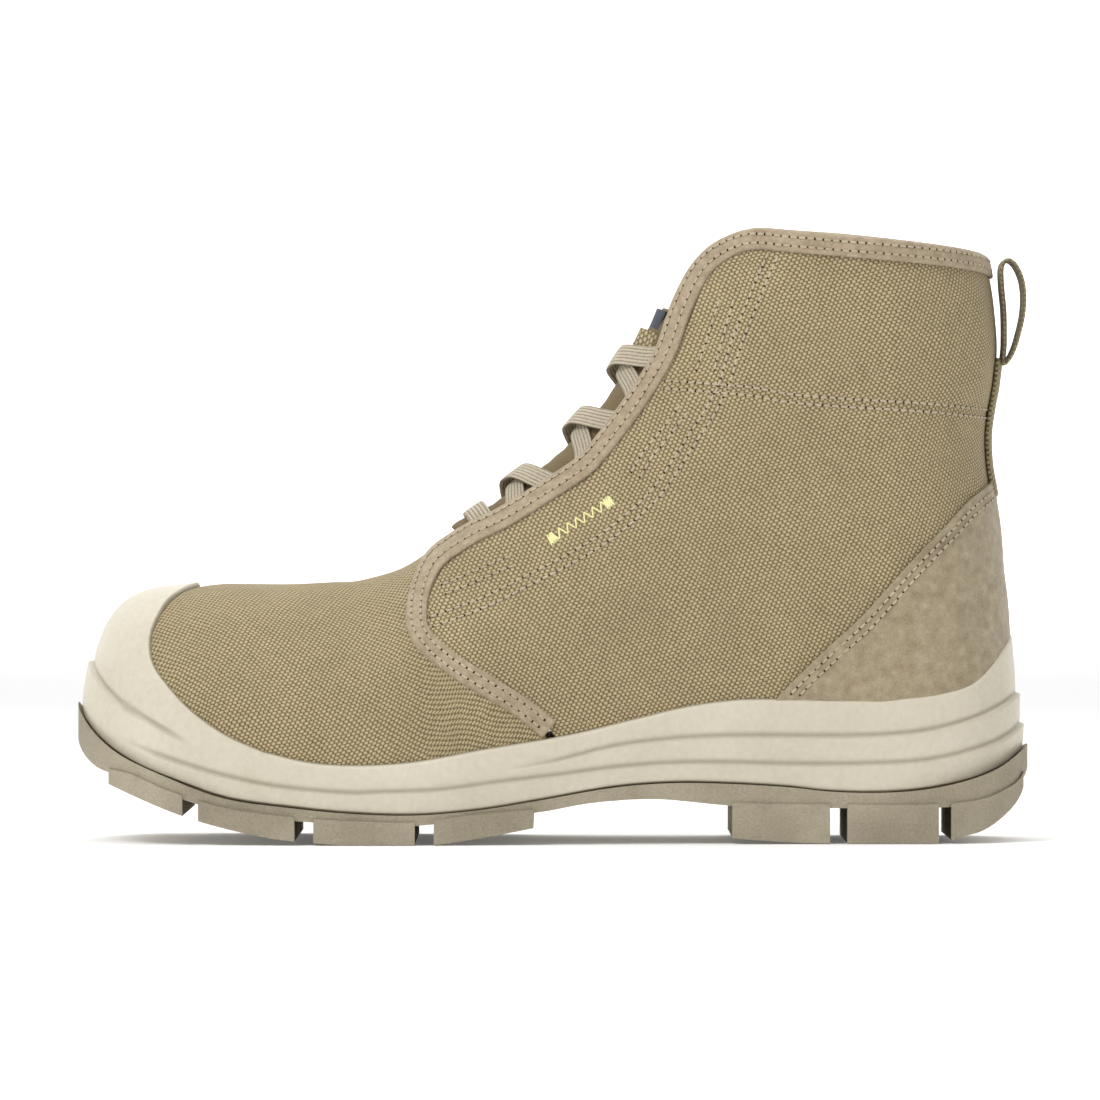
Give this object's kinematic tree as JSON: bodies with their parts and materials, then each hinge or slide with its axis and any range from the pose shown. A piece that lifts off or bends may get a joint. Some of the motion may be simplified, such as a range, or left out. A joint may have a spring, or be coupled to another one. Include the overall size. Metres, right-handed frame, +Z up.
{
  "type": "steel toe work boot",
  "caption": "Left lace-up canvas safety boot with a rubber toe bumper and wall, lugged outsole, suede heel counter, padded collar and a steel cap inside the toe.",
  "frame": {"origin": "middle of the footprint, on the floor", "axes": "+X from the toe to the heel, +Y towards the inner side of the foot, +Z up"},
  "size_m": [0.305, 0.1151, 0.1957],
  "materials": {
    "sole_rubber": "matte, fine grain",
    "wall_rubber": "smooth, satin",
    "steel": "plain pressed steel",
    "strip": "matte",
    "filler": "foam",
    "board": "pressed board",
    "footbed": "brushed textile over foam",
    "canvas": "coarse plain weave",
    "suede": "napped suede",
    "trim": "fine suede-like binding",
    "lining": "soft knit",
    "padding": "foam padding",
    "webbing": "herringbone webbing",
    "lace": "flat ribbed lace",
    "patch": "plain woven patch"
  },
  "bodies": {
    "boot": {"outsole": "sole_rubber", "foxing": "wall_rubber", "toe_bumper": "wall_rubber", "steel_toe_cap": "steel", "steel_shank": "steel", "toe_cap_edge_strip": "strip", "midsole_filler": "filler", "insole_board": "board", "heel_stiffener": "board", "footbed": "footbed", "vamp_canvas": "canvas", "quarter_outer": "canvas", "quarter_inner": "canvas", "heel_counter": "suede", "edge_trim_outer": "trim", "edge_trim_inner": "trim", "facing_stay_outer": "trim", "facing_stay_inner": "trim", "vamp_lining": "lining", "quarter_lining_outer": "lining", "quarter_lining_inner": "lining", "collar_padding": "padding", "back_strap": "webbing", "lace_loops_outer": "webbing", "lace_loops_inner": "webbing", "lace": "lace"},
    "tongue": {"tongue_face": "canvas", "tongue_padding": "padding", "tongue_lining": "lining", "tongue_patch": "patch", "lace_keeper": "canvas", "lace_top": "lace"},
    "loop": {"pull_loop": "webbing"}
  },
  "joints": [
    {"name": "tongue_flex", "type": "hinge", "parent": "boot", "child": "tongue", "pos_m": [-0.033, -0.0027, 0.09], "axis": [0, 1, 0], "range_deg": [0, 8], "stiffness_Nm_per_rad": 0.1, "springref_deg": -20.05},
    {"name": "loop_swing", "type": "hinge", "parent": "boot", "child": "loop", "pos_m": [0.1446, 0, 0.152], "axis": [0, 1, 0], "range_deg": [0, 40], "stiffness_Nm_per_rad": 0.02, "springref_deg": -11.46}
  ]
}
